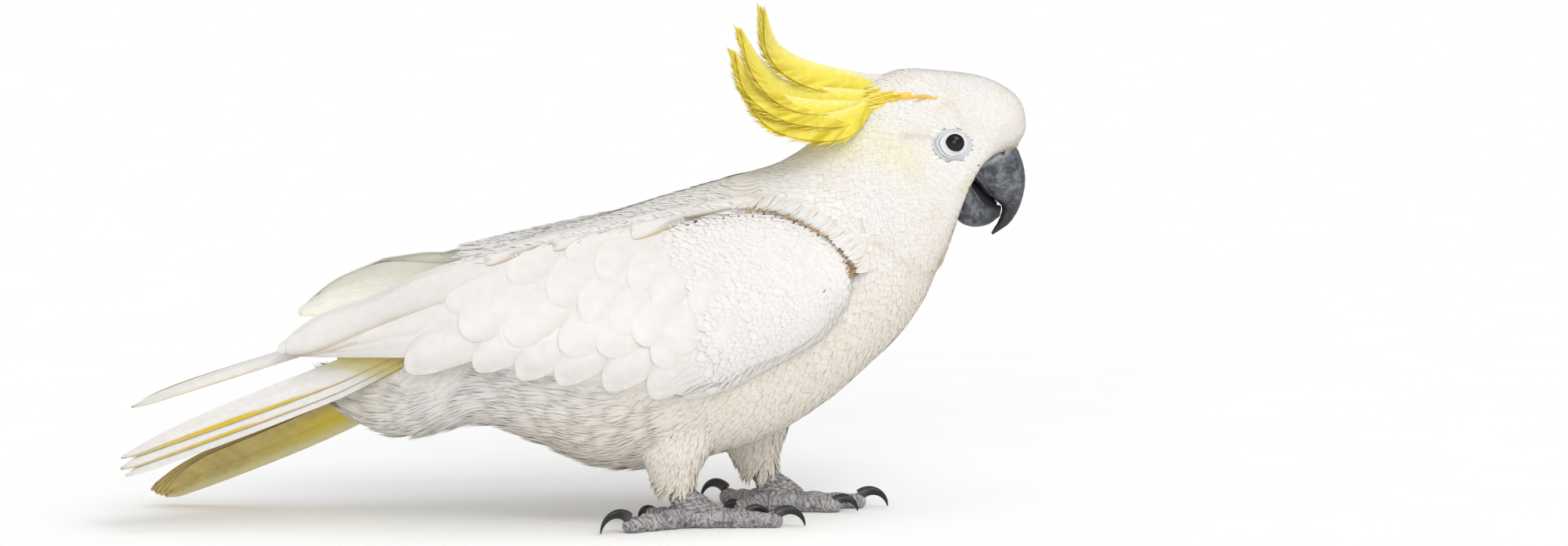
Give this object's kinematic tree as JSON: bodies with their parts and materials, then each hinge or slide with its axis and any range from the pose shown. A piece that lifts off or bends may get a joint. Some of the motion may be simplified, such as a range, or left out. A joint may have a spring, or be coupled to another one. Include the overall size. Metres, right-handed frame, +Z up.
{
  "type": "white cockatoo, still model",
  "caption": "Life-size still model of a white cockatoo standing on both feet, with a raised yellow crest, folded wings and a part-spread tail.",
  "frame": {"origin": "middle of the bird's footprint box, on the floor it stands on", "axes": "+Z up; -Y ahead, towards the bill; +X to the bird's own left"},
  "size_m": [0.1404, 0.4708, 0.2725],
  "materials": {
    "white_plumage": "soft matt contour feathers, warm white",
    "wing_plumage": "smooth matt wing feathers, cool white with shaded edges",
    "yellow_crest": "soft matt crest plumes, sulphur yellow with golden lower edges",
    "tail_plumage": "smooth matt tail feathers, white above and yellow on the inner vanes and underneath",
    "bill_horn": "dark grey horn with a pale powdery bloom",
    "foot_skin": "grey scaly skin, matt",
    "claw_horn": "black horn, polished",
    "eye_gloss": "wet black-brown eye"
  },
  "bodies": {
    "root": {"bill_lower": "bill_horn", "bill_upper": "bill_horn", "claw_left_1": "claw_horn", "claw_left_2": "claw_horn", "claw_left_3": "claw_horn", "claw_left_4": "claw_horn", "claw_right_1": "claw_horn", "claw_right_2": "claw_horn", "claw_right_3": "claw_horn", "claw_right_4": "claw_horn", "crest_plume_left_1": "yellow_crest", "crest_plume_left_2": "yellow_crest", "crest_plume_left_3": "yellow_crest", "crest_plume_left_4": "yellow_crest", "crest_plume_right_1": "yellow_crest", "crest_plume_right_2": "yellow_crest", "crest_plume_right_3": "yellow_crest", "crest_plume_right_4": "yellow_crest", "eye_left": "eye_gloss", "eye_right": "eye_gloss", "head": "white_plumage", "neck": "white_plumage", "primaries_left": "wing_plumage", "primaries_right": "wing_plumage", "shank_left": "foot_skin", "shank_right": "foot_skin", "tail_feather_left_1": "tail_plumage", "tail_feather_left_2": "tail_plumage", "tail_feather_left_3": "tail_plumage", "tail_feather_left_4": "tail_plumage", "tail_feather_left_5": "tail_plumage", "tail_feather_left_6": "tail_plumage", "tail_feather_right_1": "tail_plumage", "tail_feather_right_2": "tail_plumage", "tail_feather_right_3": "tail_plumage", "tail_feather_right_4": "tail_plumage", "tail_feather_right_5": "tail_plumage", "tail_feather_right_6": "tail_plumage", "thigh_left": "white_plumage", "thigh_right": "white_plumage", "toe_left_1": "foot_skin", "toe_left_2": "foot_skin", "toe_left_3": "foot_skin", "toe_left_4": "foot_skin", "toe_right_1": "foot_skin", "toe_right_2": "foot_skin", "toe_right_3": "foot_skin", "toe_right_4": "foot_skin", "trunk": "white_plumage", "wing_left": "wing_plumage", "wing_right": "wing_plumage"}
  },
  "joints": []
}
